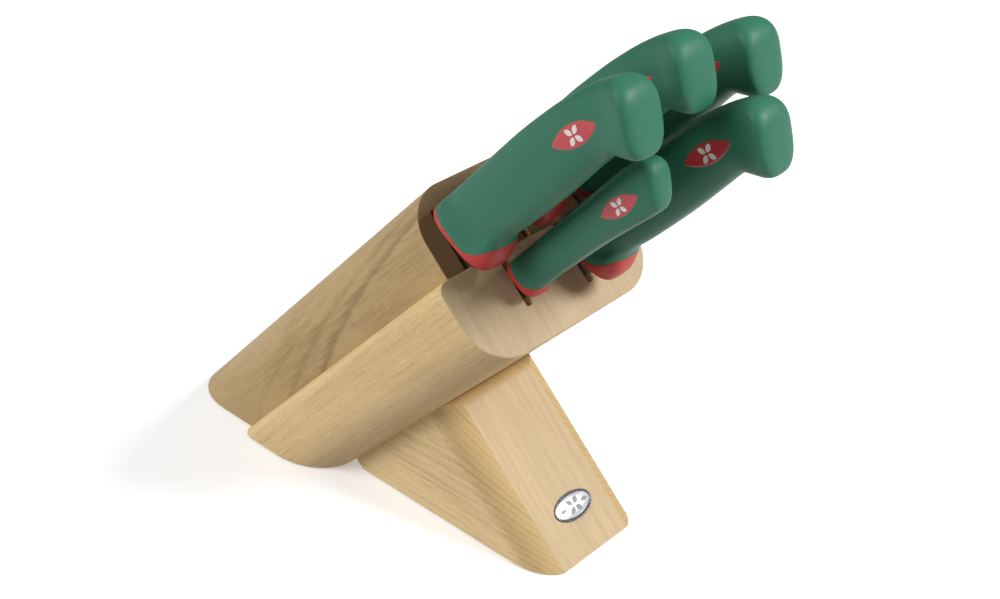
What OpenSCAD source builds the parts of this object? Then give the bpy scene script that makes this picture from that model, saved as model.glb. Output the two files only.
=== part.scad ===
// Slanted knife block: two glued oak slabs on a wedge leg, with five knives in sawn slots.
// +X runs towards the toe of the leg, +Y across the block, +Z up, and Z = 0 is the table top.
// The origin is the middle of the whole footprint. Inside the block, places are given as
// [along the slabs, across, out of the joint plane], from the point where the joint plane
// meets the table.

/* [Block] */
// Angle between the slabs and the table, degrees
lean = 45; // [40:1:50]
// Length of the joint between the two slabs, from the table to the slotted end face
joint_len = 209.5; // [208:0.5:225]
// Width of the lower slab
lower_w = 110; // [106:1:120]
// Thickness of the lower slab
lower_t = 41.9; // [40:0.1:46]
// Rounding of the lower slab's two bottom edges
lower_edge_r = 22.5; // [10:0.5:24]
// Rounding of the lower slab's two top edges
lower_top_r = 6; // [2:0.5:8]
// Width of the upper slab
upper_w = 96.3; // [94:0.1:104]
// Thickness of the upper slab
upper_t = 37.6; // [37:0.1:42]
// Rounding of the upper slab's two top edges
upper_edge_r = 21; // [8:0.5:22]
// Width of each sawn slot
slot_w = 3.2; // [3:0.1:3.8]

/* [Leg] */
// Width of the wedge leg
leg_w = 65.6; // [60:0.1:80]
// Distance of the leg's front face up the slabs
leg_front = 135.7; // [125:0.1:140]
// Radius of the leg's two rounded front edges
leg_edge_r = 15.5; // [10:0.5:18]
// Depth of each rounded front edge, less than its radius so that it ends in a crisp line
leg_edge_depth = 14.8; // [8:0.1:15]
// Radius of the rounded edge along the top of the leg's front face
leg_top_r = 7; // [3:0.5:10]

/* [Badge] */
// Long and short half-axes of the oval badge
badge_half = [11.8, 6.4]; // [5:0.1:14]
// Distance of the badge's middle below the joint plane
badge_drop = 111.9; // [100:0.1:115]
// Sideways place of the badge on the leg
badge_y = 1.2; // [-3:0.1:3]
// Width of the badge's rim
badge_rim_w = 1.3; // [0.8:0.1:2]

/* [Fixings and feet] */
// Diameter of the wooden dowels
dowel_d = 7.9; // [6:0.1:7.9]
// Diameter of the holes for the dowels
dowel_hole_d = 8; // [8:0.1:8.5]
// Diameter of each anti-slip pad
pad_d = 11; // [8:0.5:13]
// Height that each pad stands proud of the wood
pad_proud = 0.8; // [0.5:0.1:1.5]

/* [Knives] */
// Thickness of the blades
blade_t = 2; // [1.5:0.1:2.2]
// Blade length of the chef's knife
chef_len = 200; // [150:1:205]
// Blade length of the carving knife
carving_len = 205; // [150:1:210]
// Blade length of the bread knife
bread_len = 195; // [150:1:205]
// Blade length of the utility knife
utility_len = 160; // [120:1:170]
// Blade length of the paring knife
paring_len = 90; // [70:1:100]

/* [Hidden] */
big = 400;
hair = 0.01;

// A big handle's outline: [distance from the end face, spine, belly, half width].
// Heights are measured square to the slabs, from the knife's own datum.
BIG_FORM = [
    [5, 27.9, -6.3, 10.9], [14, 28.2, -6.4, 10.9], [18, 28.3, -6.3, 10.3], [22, 28.3, -5.8, 9.4],
    [27, 28.4, -3.5, 8.9], [32, 28.5, -0.7, 8.8], [45, 28.8, -0.8, 9.1], [60, 29.2, -0.8, 9.3],
    [75, 29.4, -0.5, 9.3], [95, 28.7, 0.7, 9.0], [104, 27.9, 1.2, 8.7], [109.5, 27.3, 0.5, 8.5],
    [114, 26.6, -2.8, 8.5], [118.5, 25.7, -6.2, 8.9], [123, 24.5, -7.2, 9.9], [128, 22.7, -7.1, 10.6],
    [138, 17.8, -6.2, 10.7]];
// The small handle's outline, in the same form
SMALL_FORM = [
    [3, 17.8, -0.9, 8.3], [9, 18.1, -0.6, 8.3], [13, 18.3, 0.9, 7.8], [18, 18.5, 1.7, 7.2],
    [30, 19.0, 2.0, 7.1], [60, 20.3, 2.0, 7.2], [76, 21.3, 1.4, 7.0], [90, 21.7, 0.7, 6.7],
    [108, 20.2, 0.8, 6.1]];

// End faces: [middle of the end, lean of the end, extra curve of its upper half]. The collar's
// front face leans one way and the tail leans the other.
// Ends: [depth of the domed tail at the sides, the same at the spine, collar width on the flat sides,
// extra collar width under the belly]
BIG = [BIG_FORM, [11.5, -3.6, 0], [130.8, 7.5, 3.5], [4.5, 7.5, 2.8, 11]];
SMALL = [SMALL_FORM, [7.5, -1.8, 0], [103.5, 6, 4.5], [4.5, 7, 3, 2.5]];

corner_power = 2 / 3;
sides = 24;
collar_rings = 4;
grip_rings = 26;
tail_rings = 5;
rim_round = 1.4;

// Each knife: [sideways place, datum height above the joint plane, blade length, blade depth,
// slot depth, shape of the tip, true for the small handle]
CHEF = [-36, 0, chef_len, [1.5, 25], 28, "chef", false];
CARVING = [0, 6, carving_len, [4, 24.5], 34, "carving", false];
BREAD = [36, 0, bread_len, [2, 25], 28, "bread", false];
UTILITY = [17.3, -28, utility_len, [1.6, 24], 29.5, "utility", false];
PARING = [-18, -24.2, paring_len, [1.4, 16.5], 25.5, "paring", true];

emblem_big = [103.6, 14.7, 26, 9.1];
emblem_small = [82.5, 10.5, 22.5, 8];
emblem_depth = 1.2;
emblem_proud = 0.12;

tang_h = 12;
tang_len = 88;
tang_small_len = 66;

edge_t = 0.3;
blade_root = 10;
heel_x = 4;
bread_teeth = 24;
tang_start = 9;

pad_depth = 1.2;
dowel_len = 30;
dowel_spots = [[60, -27], [60, 27], [165, -27], [165, 27]];
leg_dowel_spots = [80, 115];
leg_dowel_top = -24;
leg_dowel_len = 38;
leg_back = 43.2;
leg_back_r = 8;

upper_low_r = 0.5;

badge_seat = 1;
badge_proud = 0.9;
badge_dome = 0.9;
badge_points = 48;

// Place along the table of a point given as [along the slabs, across, out of the joint plane]
function world_x(p) = p[0] * cos(lean) - p[2] * sin(lean);
front_reach = max([for (ring = handle_rings(BIG)) for (p = ring)
    world_x([joint_len + p[0], 0, UTILITY[1] + p[2]])]);
back_reach = -upper_t / sin(lean) + pad_proud / tan(lean);
x_mid = (front_reach + back_reach) / 2;
pad_back_x = -x_mid - upper_t * 0.72;
pad_front_x = -x_mid + leg_front / cos(lean) - 24;
pad_y = 18;

$fn = 64;

// ---- smooth curves through a few stations ----

// Slope at station i of column c, from its neighbours
function slope(tbl, i, c) =
    let (a = max(i - 1, 0), b = min(i + 1, len(tbl) - 1))
    (tbl[b][c] - tbl[a][c]) / (tbl[b][0] - tbl[a][0]);
// Which span of the table holds s
function span(tbl, s, i = 0) = i >= len(tbl) - 2 || s < tbl[i + 1][0] ? i : span(tbl, s, i + 1);
// Cubic through the stations: value of column c at s
function curve(tbl, s, c) =
    let (i = span(tbl, s), d = tbl[i + 1][0] - tbl[i][0], k = (s - tbl[i][0]) / d,
        k2 = k * k, k3 = k2 * k)
    (2 * k3 - 3 * k2 + 1) * tbl[i][c] + (k3 - 2 * k2 + k) * d * slope(tbl, i, c)
    + (3 * k2 - 2 * k3) * tbl[i + 1][c] + (k3 - k2) * d * slope(tbl, i + 1, c);

// ---- handle surface ----

function form_of(h) = h[0];
function front_of(h) = h[1];
function tail_of(h) = h[2];
function ends_of(h) = h[3];
function bent(x) = sign(x) * pow(abs(x), corner_power);
function mix(a, b, k) = a + (b - a) * k;
function ease(k) = k * k * (3 - 2 * k);
function ramp(from, to, x) = ease(min(1, max(0, (x - from) / (to - from))));
// Where an end face lies at relative height v, -1 at the belly to 1 at the spine
function end_face(end, v) = end[0] + end[1] * v - end[2] * pow(max(v, 0), 2);
// The line between collar and grip, which swells back under the belly
function collar_line(h, v) = end_face(front_of(h), v) + ends_of(h)[2] + ends_of(h)[3] * ramp(-0.25, -1, v);
function tail_round(h, v) = mix(ends_of(h)[0], ends_of(h)[1], ease(max(v, 0)));
// Half width at s and relative height v: the flares run parallel to the collar and to the tail
function half_width(h, s, v) =
    let (front_shift = collar_line(h, v) - collar_line(h, 0),
        tail_shift = end_face(tail_of(h), v) - tail_of(h)[0])
    curve(form_of(h), max(form_of(h)[0][0],
        s - front_shift * ramp(60, 30, s) - tail_shift * ramp(80, 105, s)), 3);
// A point of the section: relative height v and relative width y for each of its sides
function section_v(i) = bent(sin((i + 0.5) * 360 / sides));
function section_y(i) = bent(cos((i + 0.5) * 360 / sides));
function surface_point(h, s, i, inset) =
    let (spine = curve(form_of(h), s, 1), belly = curve(form_of(h), s, 2), v = section_v(i))
    [s, section_y(i) * (half_width(h, s, v) - inset),
         (spine + belly) / 2 + v * ((spine - belly) / 2 - inset)];
// A point of the domed tail: q shrinks the section from 1, at its rim, towards the middle
function cap_point(h, i, q) =
    let (v = section_v(i) * q,
        s = end_face(tail_of(h), v) - tail_round(h, v) * (1 - pow(1 - pow(q, 3), 1 / 3)),
        spine = curve(form_of(h), s, 1), belly = curve(form_of(h), s, 2))
    [s, section_y(i) * q * half_width(h, s, v), (spine + belly) / 2 + v * (spine - belly) / 2];
function collar_ring_list(h) = concat(
    [for (turn = [90, 45]) [for (i = [0 : sides - 1])
        surface_point(h, end_face(front_of(h), section_v(i)) + rim_round * (1 - sin(turn)),
            i, rim_round * (1 - cos(turn)))]],
    [for (k = [0 : collar_rings]) [for (i = [0 : sides - 1])
        surface_point(h, mix(end_face(front_of(h), section_v(i)) + rim_round,
            collar_line(h, section_v(i)), k / collar_rings), i, 0)]]);
function handle_rings(h) = concat(
    [for (k = [0 : grip_rings]) [for (i = [0 : sides - 1])
        let (v = section_v(i))
        surface_point(h, mix(collar_line(h, v), end_face(tail_of(h), v) - tail_round(h, v), k / grip_rings),
            i, 0)]],
    [for (k = [1 : tail_rings]) [for (i = [0 : sides - 1])
        cap_point(h, i, pow(cos(86 * k / tail_rings), corner_power))]]);

// Closed solid through rings of points; the flat ends are cut into strips across the section
module lofted(rings) {
    n = sides;
    last = (len(rings) - 1) * n;
    right = [for (j = [0 : n / 2 - 1]) (n / 4 - 1 - j + n) % n];
    left = [for (i = right) (n / 2 - 1 - i + n) % n];
    walls = [for (k = [0 : len(rings) - 2]) for (i = [0 : n - 1])
        let (a = k * n + i, b = k * n + (i + 1) % n)
        each [[a, b, a + n], [b, b + n, a + n]]];
    strips = [for (j = [0 : n / 2 - 2]) [right[j], right[j + 1], left[j + 1], left[j]]];
    polyhedron([for (ring = rings) each ring],
        concat(walls, strips, [for (f = strips) [last + f[3], last + f[2], last + f[1], last + f[0]]]));
}

module on_block() translate([-x_mid, 0, 0]) rotate([0, -lean, 0]) children();
// A flat outline [across, out] drawn out along the slabs
module along_slabs(from, to)
    translate([from, 0, 0]) rotate([90, 0, 90]) linear_extrude(to - from) children();
// A flat outline [along, out] drawn out across the block, centred
module across(width) rotate([90, 0, 0]) linear_extrude(width, center = true) children();
// The space under the wood, down to the table and beyond
module below_wood() translate([-big, -big, pad_proud - big]) cube([2 * big, 2 * big, big]);
module in_knife(knife) on_block() translate([joint_len, knife[0], knife[1]]) children();

// ---- block ----

// Slab section from low to high, with one radius for the low edges and one for the high
module slab_section(w, low, high, low_r, high_r) {
    translate([-w / 2, low + low_r]) square([w, high - low - low_r - high_r]);
    translate([-w / 2 + low_r, low]) square([w - 2 * low_r, low_r + hair]);
    translate([-w / 2 + high_r, high - high_r - hair]) square([w - 2 * high_r, high_r + hair]);
    intersection() {
        translate([-w / 2, low]) square([w, high - low]);
        for (side = [-1, 1]) {
            translate([side * (w / 2 - low_r), low + low_r]) circle(low_r);
            translate([side * (w / 2 - high_r), high - high_r]) circle(high_r);
        }
    }
}

module slot(knife) {
    depth = knife[4];
    translate([-big, knife[0] - slot_w / 2, knife[1] < 0 ? -depth : -hair])
        cube([2 * big, slot_w, depth + hair]);
}

module dowels(d, extra = 0)
    for (spot = dowel_spots)
        translate([spot[0], spot[1], -dowel_len / 2 - extra]) cylinder(d = d, h = dowel_len + 2 * extra);

module leg_dowel_set(d, extra = 0)
    for (along = leg_dowel_spots)
        translate([along, 0, leg_dowel_top - leg_dowel_len - extra])
            cylinder(d = d, h = leg_dowel_len + 2 * extra);

module pads(extra = 0)
    for (x = [pad_back_x, pad_front_x]) for (side = [-1, 1])
        translate([x, side * pad_y, 0]) cylinder(d = pad_d, h = pad_proud + pad_depth + extra);

module upper_block() color("#bfa26e") difference() {
    on_block() difference() {
        along_slabs(-upper_t, joint_len)
            slab_section(upper_w, 0, upper_t, upper_low_r, upper_edge_r);
        for (knife = [CHEF, CARVING, BREAD]) slot(knife);
        dowels(dowel_hole_d, 0.5);
    }
    below_wood();
    pads();
}

module lower_block() color("#cdb180") difference() {
    on_block() difference() {
        along_slabs(-lower_t, joint_len)
            slab_section(lower_w, -lower_t, 0, lower_edge_r, lower_top_r);
        for (knife = [UTILITY, PARING]) slot(knife);
        dowels(dowel_hole_d, 0.5);
        leg_dowel_set(dowel_hole_d, 0.5);
    }
    below_wood();
}

module block_dowels() color("#d9c08c") on_block() dowels(dowel_d);
module leg_dowels() color("#d9c08c") on_block() leg_dowel_set(dowel_d);
module anti_slip_pads() color("#3a3a3a") pads();

// ---- leg and badge ----

module leg_section() {
    square_w = leg_w - 2 * leg_edge_r;
    edge_x = leg_front - leg_edge_depth;
    flat_w = square_w + 2 * sqrt(pow(leg_edge_r, 2) - pow(leg_edge_depth, 2));
    translate([leg_back + leg_back_r, -leg_w / 2]) square([edge_x - leg_back - leg_back_r, leg_w]);
    translate([leg_back, -leg_w / 2 + leg_back_r]) square([leg_back_r + hair, leg_w - 2 * leg_back_r]);
    for (side = [-1, 1])
        translate([leg_back + leg_back_r, side * (leg_w / 2 - leg_back_r)]) circle(leg_back_r);
    translate([edge_x - hair, -flat_w / 2]) square([leg_edge_depth + hair, flat_w]);
    for (side = [-1, 1]) intersection() {
        translate([edge_x, side * square_w / 2]) circle(leg_edge_r);
        translate([leg_back, -leg_w / 2]) square([leg_front - leg_back, leg_w]);
    }
}

// The leg from the side: its front face stands square to the slabs, rounded over at the top
module leg_side() {
    translate([leg_back, -big]) square([leg_front - leg_top_r - leg_back, big - lower_t]);
    translate([leg_back, -big]) square([leg_front - leg_back, big - lower_t - leg_top_r]);
    translate([leg_front - leg_top_r, -lower_t - leg_top_r]) circle(leg_top_r);
}

function oval(half, inset) = [for (i = [0 : badge_points - 1])
    [(half[0] - inset) * cos(360 * i / badge_points), (half[1] - inset) * sin(360 * i / badge_points)]];
// Outward from the middle of the leg's front face, with the long way of the badge across it
module on_badge() on_block() translate([leg_front, badge_y, -badge_drop])
    rotate([0, 90, 0]) rotate([0, 0, 90]) children();

module stand_leg() color("#d8bd8a") difference() {
    on_block() intersection() {
        translate([0, 0, -lower_t - big]) linear_extrude(big) leg_section();
        across(leg_w + 2) leg_side();
    }
    below_wood();
    on_block() leg_dowel_set(dowel_hole_d, 0.5);
    on_badge() translate([0, 0, -badge_seat]) linear_extrude(badge_seat + 1) polygon(oval(badge_half, 0));
    pads();
}

module badge_rim() color("#d0d2d4") on_badge() translate([0, 0, -badge_seat]) difference() {
    linear_extrude(badge_seat + badge_proud) polygon(oval(badge_half, 0));
    translate([0, 0, -1]) linear_extrude(badge_seat + badge_proud + 2)
        polygon(oval(badge_half, badge_rim_w));
}

// A shallow dome that fills the rim
module badge_face() color("#f2f2f2") on_badge() {
    base = -badge_seat;
    levels = concat([base], [for (k = [0 : 4]) badge_proud - 0.3 + badge_dome * sin(22.5 * k)]);
    insets = concat([badge_rim_w], [for (k = [0 : 4])
        badge_rim_w + (badge_half[1] - badge_rim_w) * 0.9 * (1 - cos(22.5 * k))]);
    n = badge_points;
    points = [for (k = [0 : 5]) for (p = oval(badge_half, insets[k])) [p[0], p[1], levels[k]]];
    walls = [for (k = [0 : 4]) for (i = [0 : n - 1])
        let (a = k * n + i, b = k * n + (i + 1) % n)
        each [[a, a + n, b], [b, a + n, b + n]]];
    polyhedron(points, concat(walls, [[for (i = [0 : n - 1]) i]], [[for (i = [n - 1 : -1 : 0]) 5 * n + i]]));
}

// ---- knives ----

function blade_low(knife) = knife[3][0];
function blade_high(knife) = knife[3][1];
function is_small(knife) = knife[6];
function shape_of(knife) = is_small(knife) ? SMALL : BIG;

// Blade outline [along, out], tip towards the bottom of the slot
function blade_outline(knife) =
    let (len = knife[2], low = blade_low(knife), high = blade_high(knife), h = high - low)
    knife[5] == "bread"
    ? concat([[blade_root, high], [blade_root, low + 0.8]],
        [for (k = [0 : 2 * bread_teeth])
            [heel_x - (len - 14) * k / (2 * bread_teeth), low + 0.8 * (1 - k % 2)]],
        [for (turn = [0 : 15 : 90]) [heel_x - len + 14 - 14 * sin(turn), low + h * 0.55 * (1 - cos(turn))]],
        [for (turn = [90 : -15 : 0]) [heel_x - len + 30 - 30 * sin(turn), high - h * 0.45 * (1 - cos(turn))]])
    : let (sweep = knife[5] == "carving" ? 0.35 : knife[5] == "chef" ? 0.5 : 0.4,
           drop = knife[5] == "carving" ? 0.55 : 0.3)
    concat([[blade_root, high], [blade_root, low], [heel_x - len * (1 - sweep), low]],
        [for (turn = [10 : 10 : 90])
            [heel_x - len * (1 - sweep) - len * sweep * sin(turn), low + h * (1 - drop) * (1 - cos(turn))]],
        [for (turn = [75 : -15 : 0])
            [heel_x - len * (1 - sweep) - len * sweep * sin(turn), high - h * drop * (1 - cos(turn))]]);

// Blade section [across, out]: flat near the spine, ground to the edge
module ground_section(knife) {
    low = blade_low(knife);
    high = blade_high(knife);
    grind = mix(low, high, 0.72);
    polygon([[-edge_t / 2, low - 1], [edge_t / 2, low - 1], [edge_t / 2, low], [blade_t / 2, grind],
        [blade_t / 2, high + 1], [-blade_t / 2, high + 1], [-blade_t / 2, grind], [-edge_t / 2, low]]);
}

module blade(knife) color("#c9ccce") in_knife(knife) {
    intersection() {
        across(blade_t) polygon(blade_outline(knife));
        translate([-big, 0, 0]) rotate([90, 0, 90]) linear_extrude(2 * big) ground_section(knife);
    }
    tang(knife);
}

// The steel that runs back inside the handle
module tang(knife) {
    low = mix(blade_low(knife), blade_high(knife), 0.5) - tang_h / 2;
    translate([tang_start, -blade_t / 2, low])
        cube([is_small(knife) ? tang_small_len : tang_len, blade_t, tang_h]);
}

// The blade's own end inside the collar
module blade_end(knife)
    translate([0, -blade_t / 2, blade_low(knife)])
        cube([blade_root, blade_t, blade_high(knife) - blade_low(knife)]);

module collar(knife) color("#c84a4a") in_knife(knife) difference() {
    lofted(collar_ring_list(shape_of(knife)));
    blade_end(knife);
    tang(knife);
}

module emblem_pair(knife, depth, lift) {
    spot = is_small(knife) ? emblem_small : emblem_big;
    half_w = half_width(shape_of(knife), spot[0], 0);
    for (side = [-1, 1])
        translate([spot[0], side * (half_w + lift - depth / 2), spot[1]])
            across(depth) lens(spot[2], spot[3]);
}

// Pointed oval of two arcs
module lens(long, high) {
    r = (pow(long / 2, 2) + pow(high / 2, 2)) / high;
    intersection() {
        translate([0, r - high / 2]) circle(r);
        translate([0, high / 2 - r]) circle(r);
    }
}

module handle(knife) color("#427a5e") in_knife(knife) difference() {
    lofted(handle_rings(shape_of(knife)));
    tang(knife);
    emblem_pair(knife, emblem_depth + 2, 2);
}

module emblems(knife) color("#c8444a") in_knife(knife)
    emblem_pair(knife, emblem_depth + emblem_proud, emblem_proud);

module chef_blade() blade(CHEF);
module chef_handle() handle(CHEF);
module chef_collar() collar(CHEF);
module chef_emblems() emblems(CHEF);
module carving_blade() blade(CARVING);
module carving_handle() handle(CARVING);
module carving_collar() collar(CARVING);
module carving_emblems() emblems(CARVING);
module bread_blade() blade(BREAD);
module bread_handle() handle(BREAD);
module bread_collar() collar(BREAD);
module bread_emblems() emblems(BREAD);
module utility_blade() blade(UTILITY);
module utility_handle() handle(UTILITY);
module utility_collar() collar(UTILITY);
module utility_emblems() emblems(UTILITY);
module paring_blade() blade(PARING);
module paring_handle() handle(PARING);
module paring_collar() collar(PARING);
module paring_emblems() emblems(PARING);

upper_block();
lower_block();
block_dowels();
stand_leg();
leg_dowels();
anti_slip_pads();
badge_rim();
badge_face();
chef_blade();
chef_handle();
chef_collar();
chef_emblems();
carving_blade();
carving_handle();
carving_collar();
carving_emblems();
bread_blade();
bread_handle();
bread_collar();
bread_emblems();
utility_blade();
utility_handle();
utility_collar();
utility_emblems();
paring_blade();
paring_handle();
paring_collar();
paring_emblems();
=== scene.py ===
"""Looks for the slanted knife block: oak slabs and leg, five knives, badge and pads, in the CAD frame."""

import math

import bmesh
import bpy
from mathutils import Matrix, Vector


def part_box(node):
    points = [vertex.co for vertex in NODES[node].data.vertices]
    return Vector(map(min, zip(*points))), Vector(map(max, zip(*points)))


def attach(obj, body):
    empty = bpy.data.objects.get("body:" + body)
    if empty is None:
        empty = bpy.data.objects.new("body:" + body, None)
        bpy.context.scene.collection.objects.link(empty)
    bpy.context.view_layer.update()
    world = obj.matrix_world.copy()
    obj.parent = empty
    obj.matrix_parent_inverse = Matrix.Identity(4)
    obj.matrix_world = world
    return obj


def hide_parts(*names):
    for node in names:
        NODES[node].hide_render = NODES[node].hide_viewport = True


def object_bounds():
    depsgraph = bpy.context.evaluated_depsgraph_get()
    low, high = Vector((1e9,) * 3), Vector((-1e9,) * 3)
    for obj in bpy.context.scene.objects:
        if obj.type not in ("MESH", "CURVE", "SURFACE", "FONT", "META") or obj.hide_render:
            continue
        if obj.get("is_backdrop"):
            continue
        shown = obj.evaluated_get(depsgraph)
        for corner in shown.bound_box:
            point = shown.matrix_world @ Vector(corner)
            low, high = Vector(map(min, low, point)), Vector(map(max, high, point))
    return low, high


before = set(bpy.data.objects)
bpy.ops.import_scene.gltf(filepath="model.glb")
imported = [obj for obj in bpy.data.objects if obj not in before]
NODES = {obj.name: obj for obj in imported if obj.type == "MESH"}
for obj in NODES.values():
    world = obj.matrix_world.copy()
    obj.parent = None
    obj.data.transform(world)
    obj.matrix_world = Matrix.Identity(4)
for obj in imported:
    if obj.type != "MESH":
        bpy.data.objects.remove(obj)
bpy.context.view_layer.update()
MM = 0.001
KNIVES = ("chef", "carving", "bread", "utility", "paring")

# ---- the block's own axes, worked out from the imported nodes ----

LEAN = math.radians(45)
ALONG = Vector((math.cos(LEAN), 0, math.sin(LEAN)))
ACROSS = Vector((0, 1, 0))
OUT = Vector((-math.sin(LEAN), 0, math.cos(LEAN)))

low_lo, low_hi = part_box("lower_block")
up_lo, up_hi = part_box("upper_block")
leg_lo, leg_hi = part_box("stand_leg")
PAD_GAP = low_lo.z
# Where the joint plane between the slabs meets the table
FOOT = Vector((low_lo.x - PAD_GAP / math.tan(LEAN), 0, 0))
LOWER_W = low_hi.y - low_lo.y
UPPER_W = up_hi.y - up_lo.y
UPPER_T = (FOOT.x + PAD_GAP / math.tan(LEAN) - up_lo.x) * math.sin(LEAN)
JOINT_LEN = up_hi.z / math.sin(LEAN) - UPPER_T
LOWER_T = (low_hi.x - FOOT.x) / math.cos(LEAN) - JOINT_LEN
LEG_W = leg_hi.y - leg_lo.y
BLOCK = Matrix((
    (ALONG.x, ACROSS.x, OUT.x, FOOT.x), (ALONG.y, ACROSS.y, OUT.y, FOOT.y),
    (ALONG.z, ACROSS.z, OUT.z, FOOT.z), (0, 0, 0, 1)))


def spot(along, across, out):
    """Point in the row frame from a place in the block: up the slabs, across, out of the joint plane."""
    return BLOCK @ Vector((along, across, out))


def clamp(x, low=0.0, high=1.0):
    return min(high, max(low, x))


def ease(k):
    return k * k * (3 - 2 * k)


def ramp(start, end, x):
    return ease(clamp((x - start) / (end - start)))


def mix(a, b, k):
    return a + (b - a) * k


# ---- mesh helpers ----

WELD = 1e-6
BEVEL_SEGMENTS = 3


def new_piece(name, points, faces, material, body, replaced=(), bevel=None, sharp_above=30):
    """A smooth-shaded mesh piece that rides on a body.

    Edges that turn more than sharp_above degrees stay sharp. bevel is a width in millimetres, and
    the turn in degrees above which an edge gets it.
    """
    mesh = bpy.data.meshes.new(name)
    build = bmesh.new()
    verts = [build.verts.new(p) for p in points]
    for face in faces:
        if len(set(face)) > 2:
            build.faces.new([verts[i] for i in face])
    bmesh.ops.remove_doubles(build, verts=build.verts, dist=WELD)
    bmesh.ops.recalc_face_normals(build, faces=build.faces)
    for face in build.faces:
        face.smooth = True
    for edge in build.edges:
        if len(edge.link_faces) == 2:
            turn = math.degrees(edge.calc_face_angle(0))
            edge.smooth = turn < sharp_above or bool(bevel and turn > bevel[1])
    build.to_mesh(mesh)
    build.free()
    mesh.materials.append(material)
    piece = bpy.data.objects.new(name, mesh)
    bpy.context.scene.collection.objects.link(piece)
    if bevel:
        rounding = piece.modifiers.new("rounded_edges", "BEVEL")
        rounding.width, rounding.segments = bevel[0] * MM, BEVEL_SEGMENTS
        rounding.limit_method, rounding.angle_limit = "ANGLE", math.radians(bevel[1])
        rounding.harden_normals = True
        rounding.miter_outer = "MITER_ARC"
    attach(piece, body)
    if replaced:
        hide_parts(*replaced)
    return piece


def ring_walls(rings, count):
    """Faces between rings of count points that follow each other."""
    walls = [(i, (i + 1) % count, count + (i + 1) % count, count + i) for i in range(count)]
    return [tuple(k * count + i for i in wall) for k in range(rings - 1) for wall in walls]


def prism_faces(count):
    """Faces of a prism whose two outlines of count points follow each other."""
    return ring_walls(2, count) + [tuple(range(count)), tuple(range(2 * count - 1, count - 1, -1))]


def arc(center, radius, start, end, steps):
    """Points of an arc from start to end degrees."""
    turns = [math.radians(mix(start, end, k / steps)) for k in range(steps + 1)]
    return [(center[0] + radius * math.cos(a), center[1] + radius * math.sin(a)) for a in turns]


# ---- material helpers ----

class Nodes:
    """Builds a node material a step at a time."""

    def __init__(self, name):
        self.material = bpy.data.materials.new(name)
        self.material.use_nodes = True
        self.tree = self.material.node_tree
        self.shader = self.tree.nodes["Principled BSDF"]
        self.place = self.add("ShaderNodeTexCoord").outputs["Object"]

    def add(self, kind, inputs=(), **settings):
        node = self.tree.nodes.new(kind)
        for key, value in settings.items():
            setattr(node, key, value)
        for key, value in dict(inputs).items():
            if isinstance(value, bpy.types.NodeSocket):
                self.tree.links.new(value, node.inputs[key])
            else:
                node.inputs[key].default_value = value
        return node

    def math(self, operation, a, b=0.0, clamped=False):
        return self.add("ShaderNodeMath", {0: a, 1: b}, operation=operation, use_clamp=clamped).outputs[0]

    def plus(self, a, b):
        return self.math("ADD", a, b)

    def minus(self, a, b):
        return self.math("SUBTRACT", a, b)

    def times(self, a, b):
        return self.math("MULTIPLY", a, b)

    def vector(self, operation, a, b):
        return self.add("ShaderNodeVectorMath", {0: a, 1: b}, operation=operation).outputs[0]

    def mapped(self, vector, location=(0, 0, 0), rotation=(0, 0, 0), scale=(1, 1, 1)):
        return self.add("ShaderNodeMapping", {
            "Vector": vector, "Location": location, "Rotation": rotation, "Scale": scale}).outputs[0]

    def millimetres(self, location=(0, 0, 0), rotation=(0, 0, 0)):
        """The place on the object in millimetres, turned and then moved."""
        return self.mapped(self.place, location, rotation, (1 / MM,) * 3)

    def noise(self, vector, scale=1.0, detail=2.0, roughness=0.5, color=False):
        node = self.add("ShaderNodeTexNoise", {
            "Vector": vector, "Scale": scale, "Detail": detail, "Roughness": roughness, "Distortion": 0.0})
        return node.outputs["Color" if color else "Fac"]

    def range(self, value, low, high, to_low=0.0, to_high=1.0):
        """Smooth step from to_low, where value is at low, to to_high, where it is at high."""
        return self.add("ShaderNodeMapRange", {
            "Value": value, "From Min": low, "From Max": high, "To Min": to_low, "To Max": to_high},
            interpolation_type="SMOOTHSTEP").outputs[0]

    def blend(self, factor, a, b):
        """Colour between a, where factor is 0, and b, where it is 1."""
        node = self.add("ShaderNodeMix", data_type="RGBA", blend_type="MIX")
        for key, value in ((0, factor), (6, a), (7, b)):
            if isinstance(value, bpy.types.NodeSocket):
                self.tree.links.new(value, node.inputs[key])
            else:
                node.inputs[key].default_value = value
        return node.outputs[2]

    def set(self, **sockets):
        """Shader sockets by name, with spaces as underscores."""
        for key, value in sockets.items():
            socket = self.shader.inputs[key.replace("_", " ")]
            if isinstance(value, bpy.types.NodeSocket):
                self.tree.links.new(value, socket)
            else:
                socket.default_value = value
        return self

    def bump(self, height, strength, distance_mm):
        node = self.add("ShaderNodeBump", {
            "Height": height, "Strength": strength, "Distance": distance_mm * MM})
        return self.set(Normal=node.outputs[0])


def rgb(red, green, blue):
    return (red, green, blue, 1.0)


def shade(color, factor):
    """The colour made darker or lighter by a factor."""
    return rgb(*[min(1.0, c * factor) for c in color])


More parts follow.
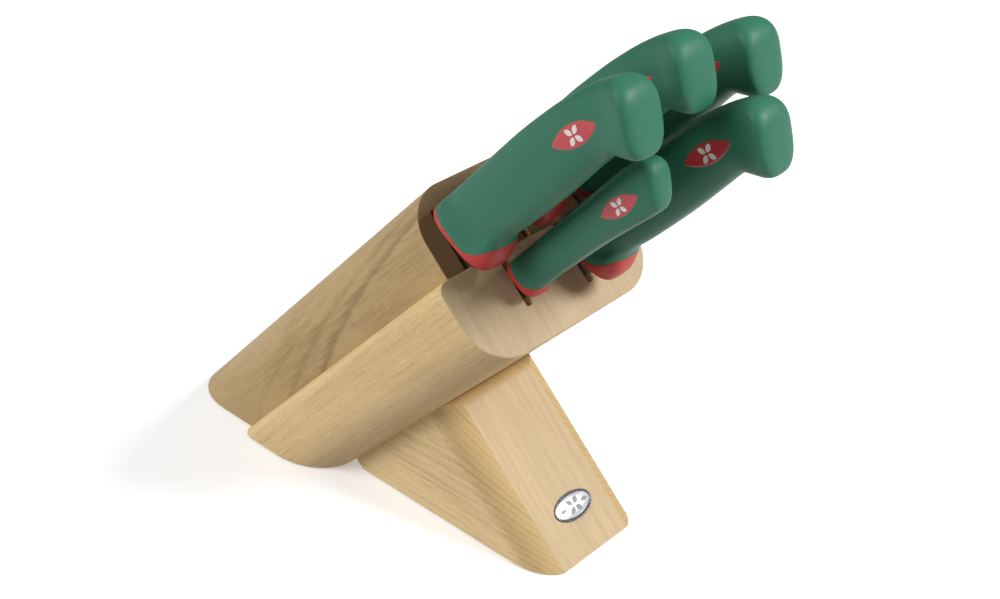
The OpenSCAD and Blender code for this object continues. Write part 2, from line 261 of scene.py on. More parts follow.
def growth_years(n, grain, across, out, seeded, pith, drift, spacing):
    """Dark porous early wood that fades into even late wood, year by year, in rings round the pith."""
    across = n.minus(n.minus(across, pith[0]), n.times(grain, drift[0]))
    out = n.minus(n.minus(out, pith[1]), n.times(grain, drift[1]))
    radius = n.math("SQRT", n.plus(n.times(across, across), n.times(out, out)))
    uneven = n.times(n.noise(n.mapped(seeded, scale=(0.02, 0.3, 0.3))), 0.45)
    ring = n.plus(n.math("DIVIDE", radius, spacing), uneven)
    phase = n.math("FRACT", ring)
    each = n.add("ShaderNodeTexWhiteNoise", {"W": n.math("FLOOR", ring)}, noise_dimensions="1D").outputs[0]
    early = n.times(n.range(phase, 0.0, 0.12), n.range(phase, 0.70, 0.10))
    return n.times(early, n.plus(n.times(each, 0.9), 0.25))


def strong_year(n, grain, across, height, start, streaks, patches):
    """One year that bends over, further along the grain with the height and away from the side."""
    side = n.plus(across, UPPER_W / MM / 2)
    bend = n.plus(n.times(height, 1.7), n.times(n.times(height, height), 0.09))
    bend = n.plus(bend, n.times(n.times(side, side), 0.05))
    off = n.minus(n.minus(grain, start), bend)
    off = n.math("DIVIDE", off, n.plus(n.times(height, 0.18), 1.9))
    off = n.plus(off, n.range(streaks, 0.3, 0.7, -1.2, 1.2))
    line = n.times(n.range(off, -4.5, 0.3), n.range(off, 1.6, 0.3))
    return n.times(line, n.range(patches, 0.30, 0.60, 0.35, 1.0))


def end_grain(n, place, seeded, lean, end):
    """Colour of the faces square to the slabs: specks, with streaks and scratches down the face."""
    specks = n.range(n.noise(place, scale=2.6, detail=2.0), 0.45, 0.7, 0.0, 0.12)
    down = n.mapped(seeded, rotation=(0, LEAN - lean, 0))
    streak = n.noise(n.mapped(down, scale=(0.3, 0.42, 0.022)), detail=4.0, roughness=0.6)
    scratch = n.noise(n.mapped(down, scale=(0.5, 2.4, 0.11)), detail=1.0)
    cloud = n.noise(n.mapped(down, scale=(0.03, 0.06, 0.03)), detail=2.0)
    color = n.blend(n.plus(specks, n.range(streak, 0.36, 0.66, -0.08, 0.34)), rgb(*end), shade(end, 0.70))
    color = n.blend(n.range(cloud, 0.35, 0.65, 0.0, 0.22), color, shade(end, 0.8))
    return n.blend(n.range(scratch, 0.62, 0.72, 0.0, 0.35), color, shade(end, 0.62))


def oak(name, lean, pith, drift, spacing, light, dark, rings, seed, end=None, end_from=0.55, arches=(),
        shoulder_shade=0.0):
    """Oak whose grain runs along its own x axis, turned by lean about Y. Places are in millimetres.

    pith is where the middle of the growth rings lies, across and out, and drift is how far it moves
    per millimetre along the grain. spacing is a year's width, rings is how strongly the years show,
    and seed shifts the pattern.
    end is the colour of the faces square to the slabs, where that differs. It starts where the
    surface's normal reaches end_from along the slabs. The last argument paints shade on the rounding beside
    it: the more that rounding turns towards the end face, the darker it is, and its year rings darker still.
    Each arch is one strong year that crosses the grain: how far along it starts, and how dark it is.
    """
    n = Nodes(name)
    place = n.millimetres((-FOOT.x / MM * math.cos(lean), 0, FOOT.x / MM * math.sin(lean)), (0, lean, 0))
    seeded = n.vector("ADD", place, (seed * 71.0, seed * 13.0, seed * 29.0))
    wander = n.noise(n.mapped(seeded, scale=(0.006, 0.022, 0.022)), detail=1.5, color=True)
    wander = n.vector("MULTIPLY", n.vector("SUBTRACT", wander, (0.5, 0.5, 0.5)), (0, 7.0, 7.0))
    grain, across, out = n.add("ShaderNodeSeparateXYZ", {0: n.vector("ADD", place, wander)}).outputs
    early = growth_years(n, grain, across, out, seeded, pith, drift, spacing)

    streaks = n.noise(n.mapped(seeded, scale=(0.022, 0.75, 0.75)), detail=5.0, roughness=0.68)
    fibres = n.noise(n.mapped(seeded, scale=(0.16, 6.0, 6.0)), detail=3.0, roughness=0.65)
    dashes = n.noise(n.mapped(seeded, scale=(0.16, 3.1, 3.1)), detail=0.0)
    pores = n.times(n.range(dashes, 0.60, 0.70), n.plus(n.times(early, 0.8), 0.3))
    glints = n.range(n.noise(n.mapped(seeded, scale=(0.13, 2.3, 1.2)), detail=0.0), 0.64, 0.74)
    patches = n.noise(n.mapped(seeded, scale=(0.012, 0.045, 0.045)), detail=3.0)

    depth = n.plus(n.times(early, 0.7 * rings), n.range(streaks, 0.35, 0.68, -0.12, 0.30))
    depth = n.math("ADD", depth, n.range(patches, 0.32, 0.66, -0.16, 0.24), clamped=True)
    color = n.blend(depth, rgb(*light), rgb(*dark))
    color = n.blend(n.range(fibres, 0.3, 0.75, 0.0, 0.20), color, shade(light, 0.70))
    color = n.blend(n.times(glints, 0.25), color, shade(light, 1.25))
    for start, strength in arches:
        line = strong_year(n, grain, across, out, start, streaks, patches)
        color = n.blend(n.times(line, strength), color, shade(dark, 0.72))
    color = n.blend(n.times(pores, 0.32), color, shade(dark, 0.50))
    if end:
        facing = n.mapped(n.add("ShaderNodeNewGeometry").outputs["Normal"], rotation=(0, LEAN, 0))
        facing = n.add("ShaderNodeSeparateXYZ", {0: facing}).outputs[0]
        # Painted shade: the rounding next to the end face darkens the more it turns towards that face, and
        # its year rings more so
        if shoulder_shade:
            rounding = n.range(facing, 0.05, 0.6)
            color = n.blend(n.times(rounding, shoulder_shade), color, rgb(*dark))
            color = n.blend(n.times(n.times(rounding, early), 0.5), color, shade(dark, 0.75))
        color = n.blend(n.range(facing, end_from, mix(end_from, 1, 0.6)), color,
                        end_grain(n, place, seeded, lean, end))
    n.set(Base_Color=color, Roughness=n.plus(n.times(fibres, 0.16), 0.46), Specular_IOR_Level=0.32)
    return n.bump(n.plus(n.times(pores, -1.0), n.times(fibres, -0.35)), 0.3, 0.12).material


def moulded(name, base, roughness, mottle=0.06, texture=0.06, coat=0.0):
    """Moulded plastic with a fine spark-eroded texture and slight wear on its sheen."""
    n = Nodes(name)
    place = n.millimetres()
    cloud = n.noise(place, scale=0.045, detail=3.0)
    grit = n.noise(place, scale=3.4, detail=2.0, roughness=0.7)
    pits = n.add("ShaderNodeTexVoronoi", {"Vector": place, "Scale": 2.2}, feature="F1").outputs["Distance"]
    spread = n.plus(n.range(cloud, 0.3, 0.7, -mottle, mottle), n.range(grit, 0.3, 0.7, -0.02, 0.02))
    color = n.blend(n.plus(spread, 0.5), shade(base, 0.8), shade(base, 1.2))
    n.set(Base_Color=color, Roughness=n.range(cloud, 0.25, 0.75, roughness - 0.05, roughness + 0.06),
          Specular_IOR_Level=0.34, Coat_Weight=coat)
    return n.bump(n.plus(grit, n.times(pits, 0.5)), texture, 0.08).material


def steel(name, base, roughness, brush, anisotropic=0.0):
    """Metal brushed across the direction in which brush is large, in strokes per millimetre."""
    n = Nodes(name)
    place = n.millimetres(rotation=(0, LEAN, 0))
    strokes = n.noise(n.mapped(place, scale=brush), detail=4.0, roughness=0.65)
    smudge = n.noise(place, scale=0.05, detail=3.0)
    color = n.blend(n.range(strokes, 0.3, 0.7), shade(base, 0.86), rgb(*base))
    rough = n.plus(n.range(smudge, 0.3, 0.7, roughness - 0.04, roughness + 0.06),
                   n.range(strokes, 0.3, 0.7, -0.03, 0.05))
    n.set(Base_Color=color, Metallic=1.0, Roughness=rough, Anisotropic=anisotropic)
    return n.bump(strokes, 0.12, 0.03).material


def rubber(name, base):
    """Matt rubber with a little dust."""
    n = Nodes(name)
    place = n.millimetres()
    grit = n.noise(place, scale=2.5, detail=3.0, roughness=0.7)
    dust = n.noise(place, scale=0.2, detail=2.0)
    color = n.blend(n.range(dust, 0.35, 0.7, 0.0, 0.35), rgb(*base), rgb(*[c + 0.05 for c in base]))
    n.set(Base_Color=color, Roughness=n.range(grit, 0.3, 0.7, 0.7, 0.9), Specular_IOR_Level=0.3)
    return n.bump(grit, 0.3, 0.1).material


# The upper slab's end colour is darker end grain with the handles' shadow painted into it as well
UPPER_OAK = oak("oak_upper", lean=LEAN, pith=(52.0, -10.0), drift=(0.055, -0.03), spacing=5.2,
                light=(0.530, 0.365, 0.168), dark=(0.320, 0.200, 0.076), rings=0.30, seed=1.0,
                end=(0.215, 0.135, 0.055), arches=((90.0, 0.75), (52.0, 0.38), (8.0, 0.25)))
LOWER_OAK = oak("oak_lower", lean=LEAN, pith=(20.0, -120.0), drift=(-0.02, 0.03), spacing=4.4,
                light=(0.840, 0.598, 0.296), dark=(0.540, 0.365, 0.155), rings=0.22, seed=2.0,
                end=(0.535, 0.400, 0.234))
# The leg gets painted shade on the rounded edges beside its front face
LEG_OAK = oak("oak_leg", lean=0.0, pith=(58.0, 72.0), drift=(0.01, 0.02), spacing=2.3,
              light=(0.880, 0.650, 0.335), dark=(0.480, 0.330, 0.145), rings=0.34, seed=3.0,
              end=(0.560, 0.413, 0.232), end_from=0.962, shoulder_shade=0.80)
DOWEL_WOOD = oak("dowel_beech", lean=-LEAN, pith=(0.0, 60.0), drift=(0.0, 0.02), spacing=1.8,
                 light=(0.68, 0.50, 0.28), dark=(0.56, 0.37, 0.18), rings=0.5, seed=4.0)
GREEN = moulded("green_grip", (0.025, 0.155, 0.090), 0.50, texture=0.10)
RED = moulded("red_collar", (0.56, 0.038, 0.032), 0.44, mottle=0.04, texture=0.06)
RED_INLAY = moulded("red_inlay", (0.55, 0.045, 0.052), 0.30, mottle=0.03, texture=0.03, coat=0.3)
WHITE_PRINT = moulded("white_motif", (0.82, 0.80, 0.78), 0.42, mottle=0.02, texture=0.02)
BLADE_STEEL = steel("blade_steel", (0.47, 0.48, 0.50), 0.26, (2.2, 0.2, 0.08), 0.4)
# The bezel's metal is painted nearly black: it stands for the dark shade and reflection round the badge's
# rim
BADGE_CHROME_PAINTED_DARK = steel("badge_chrome", (0.085, 0.085, 0.095), 0.22, (0.5, 0.5, 0.5))
BADGE_SATIN = steel("badge_face", (0.90, 0.90, 0.91), 0.30, (0.3, 0.15, 2.5), 0.3)
BADGE_INK = moulded("badge_motif", (0.27, 0.27, 0.28), 0.4, mottle=0.03, texture=0.02)
PAD_RUBBER = rubber("pad_rubber", (0.03, 0.03, 0.032))

# ---- slabs ----

SLOT_W = 3.2 * MM
SLOT_DEPTH = {"chef": 28 * MM, "carving": 34 * MM, "bread": 28 * MM, "utility": 29.5 * MM,
              "paring": 25.5 * MM}
# Where each blade, and so its slot, lies across the block
BLADE_Y = {knife: sum(corner.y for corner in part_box(knife + "_blade")) / 2 for knife in KNIVES}

UPPER_EDGE_R, UPPER_JOINT_R = 21 * MM, 0.5 * MM
LOWER_EDGE_R, LOWER_JOINT_R = 22.5 * MM, 6 * MM
EDGE_STEPS = 32
SLAB_BEVEL = (0.7, 40)


def slab_outline(width, thickness, joint_r, far_r, knives):
    """Outline (across, away from the joint) of a slab, with a notch for each knife's slot."""
    half = width / 2
    joint_steps = 3 if joint_r < MM else 14
    line = arc((-half + joint_r, joint_r), joint_r, 180, 270, joint_steps)
    for knife in sorted(knives, key=BLADE_Y.get):
        left, right, depth = BLADE_Y[knife] - SLOT_W / 2, BLADE_Y[knife] + SLOT_W / 2, SLOT_DEPTH[knife]
        line += [(left, 0), (left, depth), (right, depth), (right, 0)]
    line += arc((half - joint_r, joint_r), joint_r, 270, 360, joint_steps)
    line += arc((half - far_r, thickness - far_r), far_r, 0, 90, EDGE_STEPS)
    line += arc((-half + far_r, thickness - far_r), far_r, 90, 180, EDGE_STEPS)
    return line


def slab(name, outline, side, material, node):
    """A slab that runs from just above the table to the end face; side is 1 above the joint, -1 below."""
    foot = [spot(PAD_GAP / math.sin(LEAN) - side * h, y, side * h) for y, h in outline]
    end = [spot(JOINT_LEN, y, side * h) for y, h in outline]
    return new_piece(name, foot + end, prism_faces(len(outline)), material, "block", [node],
                     bevel=SLAB_BEVEL)


slab("upper_slab",
     slab_outline(UPPER_W, UPPER_T, UPPER_JOINT_R, UPPER_EDGE_R, ("chef", "carving", "bread")),
     1, UPPER_OAK, "upper_block")
slab("lower_slab",
     slab_outline(LOWER_W, LOWER_T, LOWER_JOINT_R, LOWER_EDGE_R, ("utility", "paring")),
     -1, LOWER_OAK, "lower_block")

# ---- leg ----

# Front face and back face, as distances up the slabs. The rounded front edges stop short of a quarter turn
LEG_FRONT, LEG_EDGE_R, LEG_EDGE_DEPTH = 135.7 * MM, 15.5 * MM, 14.8 * MM
LEG_BACK, LEG_BACK_R = 43.2 * MM, 8 * MM
LEG_TOP_R = 7 * MM
LEG_STEPS, LEG_EDGE_STEPS = 20, 28
LEG_BEVEL = (0.5, 32)


def leg_half(along):
    """Half the leg's width at a distance up the slabs."""
    half = LEG_W / 2
    if along < LEG_BACK + LEG_BACK_R:
        reach = LEG_BACK + LEG_BACK_R - along
        return half - LEG_BACK_R + math.sqrt(max(0, LEG_BACK_R ** 2 - reach ** 2))
    reach = along - (LEG_FRONT - LEG_EDGE_DEPTH)
    if reach > 0:
        return half - LEG_EDGE_R + math.sqrt(max(0, LEG_EDGE_R ** 2 - reach ** 2))
    return half


def leg_top(along):
    """How far below the joint plane the leg's top lies: it rounds over above the front face."""
    reach = along - (LEG_FRONT - LEG_TOP_R)
    drop = LEG_TOP_R - math.sqrt(max(0, LEG_TOP_R ** 2 - reach ** 2)) if reach > 0 else 0
    return -LOWER_T - drop


def make_leg():
    turns = [math.pi / 2 * k / LEG_STEPS for k in range(LEG_STEPS + 1)]
    edge_turn = math.asin(LEG_EDGE_DEPTH / LEG_EDGE_R)
    edge_turns = [edge_turn * k / LEG_EDGE_STEPS for k in range(LEG_EDGE_STEPS + 1)]
    places = [LEG_BACK + LEG_BACK_R * (1 - math.cos(a)) for a in turns]
    places += [LEG_FRONT - LEG_EDGE_DEPTH + LEG_EDGE_R * math.sin(a) for a in edge_turns]
    places += [LEG_FRONT - LEG_TOP_R + LEG_TOP_R * math.sin(a) for a in turns]
    places = sorted(set(round(p, 6) for p in places))
    points, faces = [], []
    for along in places:
        half, top, foot = leg_half(along), leg_top(along), PAD_GAP / math.sin(LEAN) - along
        points += [spot(along, across, out)
                   for across, out in ((-half, top), (half, top), (half, foot), (-half, foot))]
    for a in range(0, 4 * (len(places) - 1), 4):
        faces += [(a + i, a + (i + 1) % 4, a + 4 + (i + 1) % 4, a + 4 + i) for i in range(4)]
    last = 4 * (len(places) - 1)
    faces += [(0, 1, 2, 3), (last, last + 1, last + 2, last + 3)]
    new_piece("leg", points, faces, LEG_OAK, "block", ["stand_leg"], LEG_BEVEL, sharp_above=12)


make_leg()

# ---- badge ----

BADGE_DROP, BADGE_Y = 111.9 * MM, 1.2 * MM
BADGE_STEPS = 128
# From here on in millimetres
BADGE_HALF = (11.8, 6.4)
BADGE_BAND = 1.3
# Bezel: (inset from the badge's outline, height above the leg)
BEZEL = ((0, -1), (0, 0.3), (0.08, 0.6), (0.3, 0.84), (0.6, 0.9), (0.9, 0.82), (1.15, 0.62),
         (BADGE_BAND, 0.4), (BADGE_BAND, -1))
DOME_HALF = (BADGE_HALF[0] - BADGE_BAND, BADGE_HALF[1] - BADGE_BAND)
DOME_BASE, DOME_RIM, DOME_RISE = -0.9, 0.45, 0.85
DOME_RINGS = 16
BADGE_MOTIF_LIFT, BADGE_MOTIF_DEPTH = 0.14, 0.3
PETAL_STEPS = 12
# Where a petal's middle lies, as a share of its rosette's radius
PETAL_PLACE = 0.56


def badge_spot(across, up, height):
    """Point over the leg's front face from the badge's middle, in millimetres."""
    return spot(LEG_FRONT + height * MM, BADGE_Y + across * MM, -BADGE_DROP + up * MM)


def oval_rings(name, profile, material, closed, node):
    """A solid of ovals (half across, half up, height); open profiles end in one face each."""
    turns = [2 * math.pi * i / BADGE_STEPS for i in range(BADGE_STEPS)]
    points = [badge_spot(across * math.cos(a), up * math.sin(a), height)
              for across, up, height in profile for a in turns]
    faces = ring_walls(len(profile), BADGE_STEPS)
    last = (len(profile) - 1) * BADGE_STEPS
    if closed:
        faces += [(last + i, last + (i + 1) % BADGE_STEPS, (i + 1) % BADGE_STEPS, i)
                  for i in range(BADGE_STEPS)]
    else:
        faces += [tuple(range(BADGE_STEPS)), tuple(range(last, last + BADGE_STEPS))]
    return new_piece(name, points, faces, material, "block", [node])


def dome_height(q):
    """Height of the badge's face at q, 0 in the middle to 1 at the rim."""
    return DOME_RIM + DOME_RISE * (1 - q * q)


def dome_profile():
    shares = [1 - k / DOME_RINGS for k in range(DOME_RINGS)]
    return [(*DOME_HALF, DOME_BASE)] + [(DOME_HALF[0] * q, DOME_HALF[1] * q, dome_height(q)) for q in shares]


def dome_patch(name, outlines, material):
    """Thin shapes that follow the badge's dome, from outlines of (across, up)."""
    points, faces = [], []
    for outline in outlines:
        start = len(points)
        for rise in (BADGE_MOTIF_LIFT, -BADGE_MOTIF_DEPTH):
            for across, up in outline:
                q = math.hypot(across / DOME_HALF[0], up / DOME_HALF[1])
                points.append(badge_spot(across, up, dome_height(min(q, 1)) + rise))
        faces += [tuple(start + i for i in face) for face in prism_faces(len(outline))]
    return new_piece(name, points, faces, material, "block")


def petal(middle, long, wide, turn):
    """Outline of a pointed oval round a middle, its long way at turn degrees."""
    a = math.radians(turn)
    line = []
    for k in range(2 * PETAL_STEPS):
        side = 1 if k <= PETAL_STEPS else -1
        q = 1 - 2 * k / PETAL_STEPS if side > 0 else -1 + 2 * (k - PETAL_STEPS) / PETAL_STEPS
        x, y = q * long / 2, side * wide / 2 * (1 - q * q)
        line.append((middle[0] + x * math.cos(a) - y * math.sin(a),
                     middle[1] + x * math.sin(a) + y * math.cos(a)))
    return line


def rosette(radius, wide):
    """Four petals round the badge's middle."""
    reach = radius * PETAL_PLACE
    turns = [math.pi / 4 + math.pi / 2 * k for k in range(4)]
    return [petal((reach * math.cos(a), reach * math.sin(a)), radius * 0.86, wide, math.degrees(a))
            for a in turns]


oval_rings("badge_bezel",
           [(BADGE_HALF[0] - inset, BADGE_HALF[1] - inset, height) for inset, height in BEZEL],
           BADGE_CHROME_PAINTED_DARK, True, "badge_rim")
oval_rings("badge_dome", dome_profile(), BADGE_SATIN, False, "badge_face")
SIDE_PETALS = [petal((side * 6.9, 0), 4.4, 1.9, 0) for side in (-1, 1)]
dome_patch("badge_motif", rosette(4.8, 2.5) + SIDE_PETALS, BADGE_INK)

# ---- knives: the handle forms of the CAD, with many more points and a little slimmer behind the collar ----

# All in millimetres. (distance from the end face, spine, belly, half width)
BIG_FORM = (
    (5, 27.9, -6.3, 10.9), (14, 28.2, -6.4, 10.9), (18, 28.3, -6.3, 10.5), (22, 28.3, -5.8, 9.1),
    (27, 28.4, -3.5, 8.5), (32, 28.5, -0.7, 8.7), (45, 28.8, -0.8, 9.1), (60, 29.2, -0.8, 9.3),
    (75, 29.4, -0.5, 9.3), (95, 28.7, 0.7, 9.0), (104, 27.9, 1.2, 8.7), (109.5, 27.3, 0.5, 8.5),
    (114, 26.6, -2.8, 8.5), (118.5, 25.7, -6.2, 8.9), (123, 24.5, -7.2, 9.9), (128, 22.7, -7.1, 10.6),
    (138, 17.8, -6.2, 10.7))
SMALL_FORM = (
    (3, 17.8, -0.9, 8.3), (9, 18.1, -0.6, 8.3), (13, 18.3, 0.9, 7.8), (18, 18.5, 1.7, 7.0),
    (30, 19.0, 2.0, 7.1), (60, 20.3, 2.0, 7.2), (76, 21.3, 1.4, 7.0), (90, 21.7, 0.7, 6.7),
    (108, 20.2, 0.8, 6.1))
# front and tail: middle, lean, and extra curve of the upper half. tail_round: how deep the tail's dome is
# below the middle, and at the spine. collar: its length, and what the finger guard adds to it.
# emblem: middle along, middle up, long, high. tilt: the emblem's turn in degrees
BIG = {"form": BIG_FORM, "front": (11.5, -3.6, 0), "tail": (130.8, 7.5, 3.5), "tail_round": (4.5, 7.5),
       "collar": (2.8, 11), "emblem": (102.8, 14.4, 25.2, 9.0), "tilt": -7}
SMALL = {"form": SMALL_FORM, "front": (7.5, -1.8, 0), "tail": (103.5, 6, 4.5), "tail_round": (4.5, 7),
         "collar": (3, 2.5), "emblem": (82.5, 10.5, 22.5, 8), "tilt": -3}
# Datum height of each knife above the joint plane
DATUM = {"chef": 0, "carving": 6, "bread": 0, "utility": -28, "paring": -24.2}

AROUND = 96
GRIP_RINGS, CAP_RINGS = 120, 22
COLLAR_RINGS, COLLAR_ROUND_RINGS = 16, 6
# How far the surfaces lie inside the form, so that none comes out past the CAD
SKIN = 0.08
COLLAR_ROUND = 1.4
# Where the grip meets the collar: a small gap, and each side's chamfer
SEAM_GAP, GRIP_CHAMFER, COLLAR_CHAMFER = 0.02, 0.25, 0.2
# How far the dome of the tail is carried towards its middle
CAP_SHARE = 0.985
INLAY_LIFT, INLAY_DEPTH, INLAY_ROUND = 0.14, 1.0, 0.16
MOTIF_LIFT, MOTIF_DEPTH = 0.20, 0.1


def column(form, s, c):
    """Cubic through the stations of a form: value of column c at s."""
    i = 0
    while i < len(form) - 2 and s >= form[i + 1][0]:
        i += 1

    def slope(j):
        a, b = form[max(j - 1, 0)], form[min(j + 1, len(form) - 1)]
        return (b[c] - a[c]) / (b[0] - a[0])

    d = form[i + 1][0] - form[i][0]
    k = (s - form[i][0]) / d
    return ((2 * k ** 3 - 3 * k ** 2 + 1) * form[i][c] + (k ** 3 - 2 * k ** 2 + k) * d * slope(i)
            + (3 * k ** 2 - 2 * k ** 3) * form[i + 1][c] + (k ** 3 - k ** 2) * d * slope(i + 1))


def end_face(end, v):
    """Distance from the block of a front or tail at v, -1 at the belly to 1 at the spine."""
    return end[0] + end[1] * v - end[2] * max(v, 0) ** 2


def collar_line(shape, v):
    """Where the collar meets the grip: the guard at the belly makes it longer."""
    return end_face(shape["front"], v) + shape["collar"][0] + shape["collar"][1] * ramp(-0.25, -1, v)


def tail_round(shape, v):
    return mix(shape["tail_round"][0], shape["tail_round"][1], ease(max(v, 0)))


def half_width(shape, s, v):
    """Half width where the form's stations lean with the collar at the front and with the tail behind."""
    front_shift = collar_line(shape, v) - collar_line(shape, 0)
    tail_shift = end_face(shape["tail"], v) - shape["tail"][0]
    slid = s - front_shift * ramp(60, 30, s) - tail_shift * ramp(80, 105, s)
    return column(shape["form"], max(shape["form"][0][0], slid), 3)


def section(i):
    """Relative width and height of a point of the section: a rounded oblong."""
    a = 2 * math.pi * (i + 0.5) / AROUND
    c, s = math.cos(a), math.sin(a)
    size = (abs(c) ** 3 + abs(s) ** 3) ** (1 / 3)
    return c / size, s / size


def middle_and_half(shape, s):
    """Middle of the handle's height at s, and half of the height."""
    spine, belly = column(shape["form"], s, 1), column(shape["form"], s, 2)
    return (spine + belly) / 2, (spine - belly) / 2


def surface_point(shape, s, side, inset):
    """Point of the surface at s; side is its relative width and height."""
    middle, half = middle_and_half(shape, s)
    y, v = side
    return s, y * (half_width(shape, s, v) - inset), middle + v * (half - inset)


def surface_y(shape, s, t):
    """Half width of the handle at a place on its side."""
    middle, half = middle_and_half(shape, s)
    v = clamp((t - middle) / half, -0.99, 0.99)
    return (half_width(shape, s, v) - SKIN) * (1 - abs(v) ** 3) ** (1 / 3)


def knife_spot(knife, p):
    """Point in the row frame from (distance from the end face, across, above the datum)."""
    return spot(JOINT_LEN + p[0] * MM, BLADE_Y[knife] + p[1] * MM, (DATUM[knife] + p[2]) * MM)


def lofted(knife, name, rings, material, node):
    """Closed solid through rings of points, its ends closed by strips across the section."""
    points = [knife_spot(knife, p) for ring in rings for p in ring]
    faces = ring_walls(len(rings), AROUND)
    quarter, last = AROUND // 4, (len(rings) - 1) * AROUND
    right = [(quarter - 1 - j) % AROUND for j in range(AROUND // 2)]
    left = [(AROUND // 2 - 1 - i) % AROUND for i in right]
    for j in range(AROUND // 2 - 1):
        strip = (right[j], right[j + 1], left[j + 1], left[j])
        faces += [strip, tuple(last + i for i in strip)]
    return new_piece(name, points, faces, material, knife + "_knife", [node], sharp_above=50)


def cap_point(shape, side, q):
    """A point of the domed tail: q shrinks the section from 1, at its rim, towards the middle."""
    v = side[1] * q
    s = end_face(shape["tail"], v) - tail_round(shape, v) * (1 - (1 - q ** 3) ** (1 / 3)) - SKIN
    middle, half = middle_and_half(shape, s)
    return s, side[0] * q * (half_width(shape, s, v) - SKIN), middle + v * (half - SKIN)


def handle_rings(shape):
    sides = [section(i) for i in range(AROUND)]

    def grip_start(v):
        return collar_line(shape, v) + GRIP_CHAMFER

    def tail_start(v):
        return end_face(shape["tail"], v) - tail_round(shape, v) - SKIN

    rings = [[surface_point(shape, collar_line(shape, side[1]) + SEAM_GAP, side, SKIN + GRIP_CHAMFER)
              for side in sides]]
    for k in range(GRIP_RINGS + 1):
        rings.append([surface_point(shape, mix(grip_start(side[1]), tail_start(side[1]), k / GRIP_RINGS),
                                    side, SKIN) for side in sides])
    for k in range(1, CAP_RINGS + 1):
        a = math.pi / 2 * CAP_SHARE * k / CAP_RINGS
        rings.append([cap_point(shape, side, math.cos(a) ** (2 / 3)) for side in sides])
    return rings


def collar_rings(shape):
    sides = [section(i) for i in range(AROUND)]
    rings = []
    for k in range(COLLAR_ROUND_RINGS + 1):
        a = math.pi / 2 * (1 - k / COLLAR_ROUND_RINGS)
        back, inward = COLLAR_ROUND * (1 - math.sin(a)), COLLAR_ROUND * (1 - math.cos(a))
        rings.append([surface_point(shape, end_face(shape["front"], side[1]) + back, side, SKIN + inward)
                      for side in sides])
    for k in range(1, COLLAR_RINGS + 1):
        rings.append([surface_point(shape, mix(end_face(shape["front"], side[1]) + COLLAR_ROUND,
                                               collar_line(shape, side[1]) - COLLAR_CHAMFER,
                                               k / COLLAR_RINGS), side, SKIN)
                      for side in sides])
    rings.append([surface_point(shape, collar_line(shape, side[1]), side, SKIN + COLLAR_CHAMFER)
                  for side in sides])
    return rings


def grid_faces(start, rows, cols):
    """Faces of a thin solid: a grid of rows times cols points, then the same grid of its back."""
    faces, size = [], rows * cols
    for i in range(rows - 1):
        for j in range(cols - 1):
            a = start + i * cols + j
            faces += [(a, a + 1, a + cols + 1, a + cols),
                      (a + size, a + size + cols, a + size + cols + 1, a + size + 1)]
    rim = [(0, j) for j in range(cols)] + [(i, cols - 1) for i in range(1, rows)]
    rim += [(rows - 1, j) for j in range(cols - 2, -1, -1)] + [(i, 0) for i in range(rows - 2, 0, -1)]
    for (i, j), (k, m) in zip(rim, rim[1:] + rim[:1]):
        a, b = start + i * cols + j, start + k * cols + m
        faces.append((a, b, b + size, a + size))
    return faces


def inlay(knife, name, shape, grids, lift, depth, material, replaced=(), rounded=0.0):
    """Thin solids that follow both sides of a handle; each grid is rows of (along, up)."""
    points, faces = [], []
    for side in (-1, 1):
        for grid in grids:
            cols = len(grid[0])
            faces += grid_faces(len(points), len(grid), cols)
            for front in (True, False):
                for row in grid:
                    for j, (s, t) in enumerate(row):
                        edge = abs(2 * j / (cols - 1) - 1)
                        rise = lift - rounded * edge ** 6 if front else -depth
                        points.append(knife_spot(knife, (s, side * (surface_y(shape, s, t) + rise), t)))
    return new_piece(name, points, faces, material, knife + "_knife", replaced)


def lens_grid(middle, long, high, turn, rows=25, cols=13):
    """Grid over a pointed oval of two arcs, its long way at turn degrees."""
    radius = (long ** 2 + high ** 2) / 4 / high
    c, s = math.cos(math.radians(turn)), math.sin(math.radians(turn))
    grid = []
    for i in range(rows):
        x = -long / 2 * math.cos(math.pi * i / (rows - 1))
        reach = max(0.0, math.sqrt(radius ** 2 - x * x) - radius + high / 2)
        grid.append([(middle[0] + x * c - y * s, middle[1] + x * s + y * c)
                     for y in [reach * (2 * j / (cols - 1) - 1) for j in range(cols)]])
    return grid


def rosette_grids(middle, radius, wide, turn):
    """Grids over four petals round a middle."""
    grids, reach = [], radius * PETAL_PLACE
    for k in range(4):
        degrees = turn + 45 + 90 * k
        a = math.radians(degrees)
        place = (middle[0] + reach * math.cos(a), middle[1] + reach * math.sin(a))
        grids.append(lens_grid(place, radius * 0.84, wide, degrees, rows=11, cols=5))
    return grids


for knife in KNIVES:
    shape = SMALL if knife == "paring" else BIG
    *middle, long, high = shape["emblem"]
    lens = lens_grid(middle, long, high, shape["tilt"])
    petals = rosette_grids(middle, high * 0.5, high * 0.25, shape["tilt"])
    lofted(knife, knife + "_grip", handle_rings(shape), GREEN, knife + "_handle")
    lofted(knife, knife + "_guard", collar_rings(shape), RED, knife + "_collar")
    inlay(knife, knife + "_inlay", shape, [lens], INLAY_LIFT, INLAY_DEPTH, RED_INLAY,
          [knife + "_emblems"], INLAY_ROUND)
    inlay(knife, knife + "_motif", shape, petals, MOTIF_LIFT, MOTIF_DEPTH, WHITE_PRINT)

# ---- CAD nodes that are shown as they are ----

KEPT = {"block_dowels": DOWEL_WOOD, "leg_dowels": DOWEL_WOOD, "anti_slip_pads": PAD_RUBBER}
KEPT.update({knife + "_blade": BLADE_STEEL for knife in KNIVES})
for name, material in KEPT.items():
    for material_slot in NODES[name].material_slots:
        material_slot.link = "OBJECT"
        material_slot.material = material

# ---- floor, light and camera ----

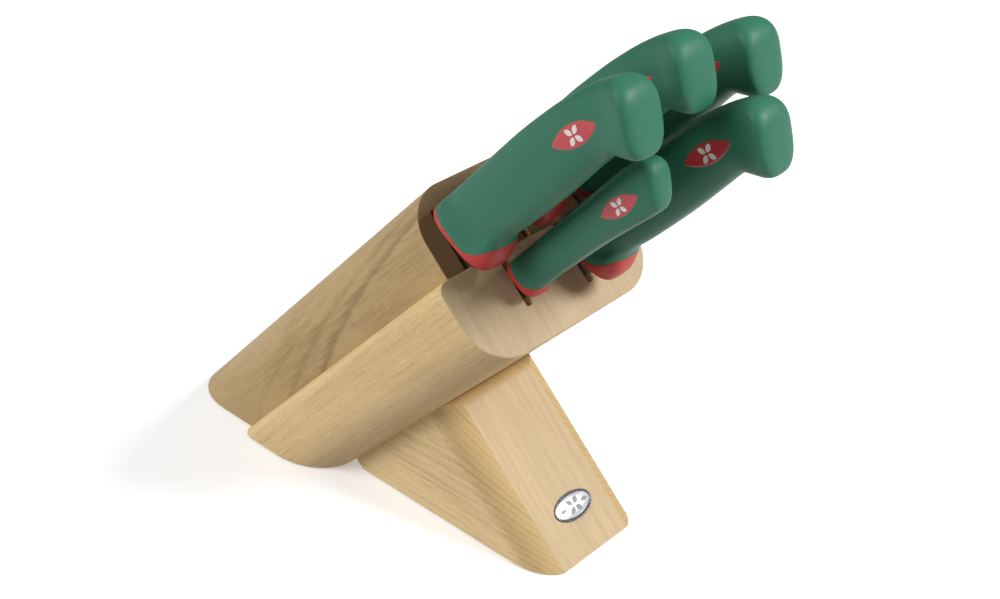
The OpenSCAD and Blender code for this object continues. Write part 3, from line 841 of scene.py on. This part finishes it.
VIEW_AZIMUTH = math.radians(43.73)
VIEW_ELEVATION = math.radians(31.65)
VIEW_ROLL = math.radians(-0.52)
VIEW_FROM_FOOT = Vector((525.91, -412.46, 461.74)) * MM
VIEW_LENS, VIEW_SENSOR = 54.57, 36
FLOOR_HALF = 12.0
LAMP_AIM, LAMP_DISTANCE = Vector((0, 0, 0.1)), 3.0


def add_camera():
    back = Vector((math.sin(VIEW_AZIMUTH) * math.cos(VIEW_ELEVATION),
                   -math.cos(VIEW_AZIMUTH) * math.cos(VIEW_ELEVATION), math.sin(VIEW_ELEVATION)))
    turn = back.to_track_quat("Z", "Y") @ Matrix.Rotation(VIEW_ROLL, 3, "Z").to_quaternion()
    data = bpy.data.cameras.new("camera")
    data.lens = VIEW_LENS
    data.sensor_width = VIEW_SENSOR
    camera = bpy.data.objects.new("camera", data)
    camera.rotation_euler = turn.to_euler()
    camera.location = FOOT + VIEW_FROM_FOOT
    bpy.context.scene.collection.objects.link(camera)
    bpy.context.scene.camera = camera


def add_floor():
    n = Nodes("pale_floor")
    haze = n.noise(n.place, scale=3.0, detail=2.0)
    n.set(Base_Color=n.blend(haze, rgb(0.91, 0.91, 0.91), rgb(0.93, 0.93, 0.93)), Roughness=0.9,
          Specular_IOR_Level=0.1, Emission_Color=rgb(1, 1, 1), Emission_Strength=0.30)
    corners = [(x * FLOOR_HALF, y * FLOOR_HALF, 0) for x, y in ((-1, -1), (1, -1), (1, 1), (-1, 1))]
    mesh = bpy.data.meshes.new("floor")
    mesh.from_pydata(corners, [], [(0, 1, 2, 3)])
    mesh.materials.append(n.material)
    floor = bpy.data.objects.new("floor", mesh)
    bpy.context.scene.collection.objects.link(floor)
    floor.visible_diffuse = False
    floor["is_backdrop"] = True


def add_softbox(name, toward, size, power):
    """A square lamp of size metres, shining from a direction towards the object."""
    data = bpy.data.lights.new(name, "AREA")
    data.shape, data.size, data.energy = "SQUARE", size, power
    lamp = bpy.data.objects.new(name, data)
    toward = Vector(toward).normalized()
    lamp.location = LAMP_AIM + toward * LAMP_DISTANCE
    lamp.rotation_euler = toward.to_track_quat("Z", "Y").to_euler()
    bpy.context.scene.collection.objects.link(lamp)


def add_world(strength):
    world = bpy.data.worlds.new("studio")
    world.use_nodes = True
    bpy.context.scene.world = world
    background = world.node_tree.nodes["Background"]
    background.inputs["Color"].default_value = rgb(1, 1, 1)
    background.inputs["Strength"].default_value = strength


add_floor()
add_world(strength=0.28)
add_softbox("key", toward=(0.8, 0.42, 0.72), size=1.0, power=91)
add_softbox("side", toward=(-0.35, -0.85, 0.62), size=1.6, power=58)
add_camera()
bpy.context.scene.view_settings.view_transform = "Standard"

low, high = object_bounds()
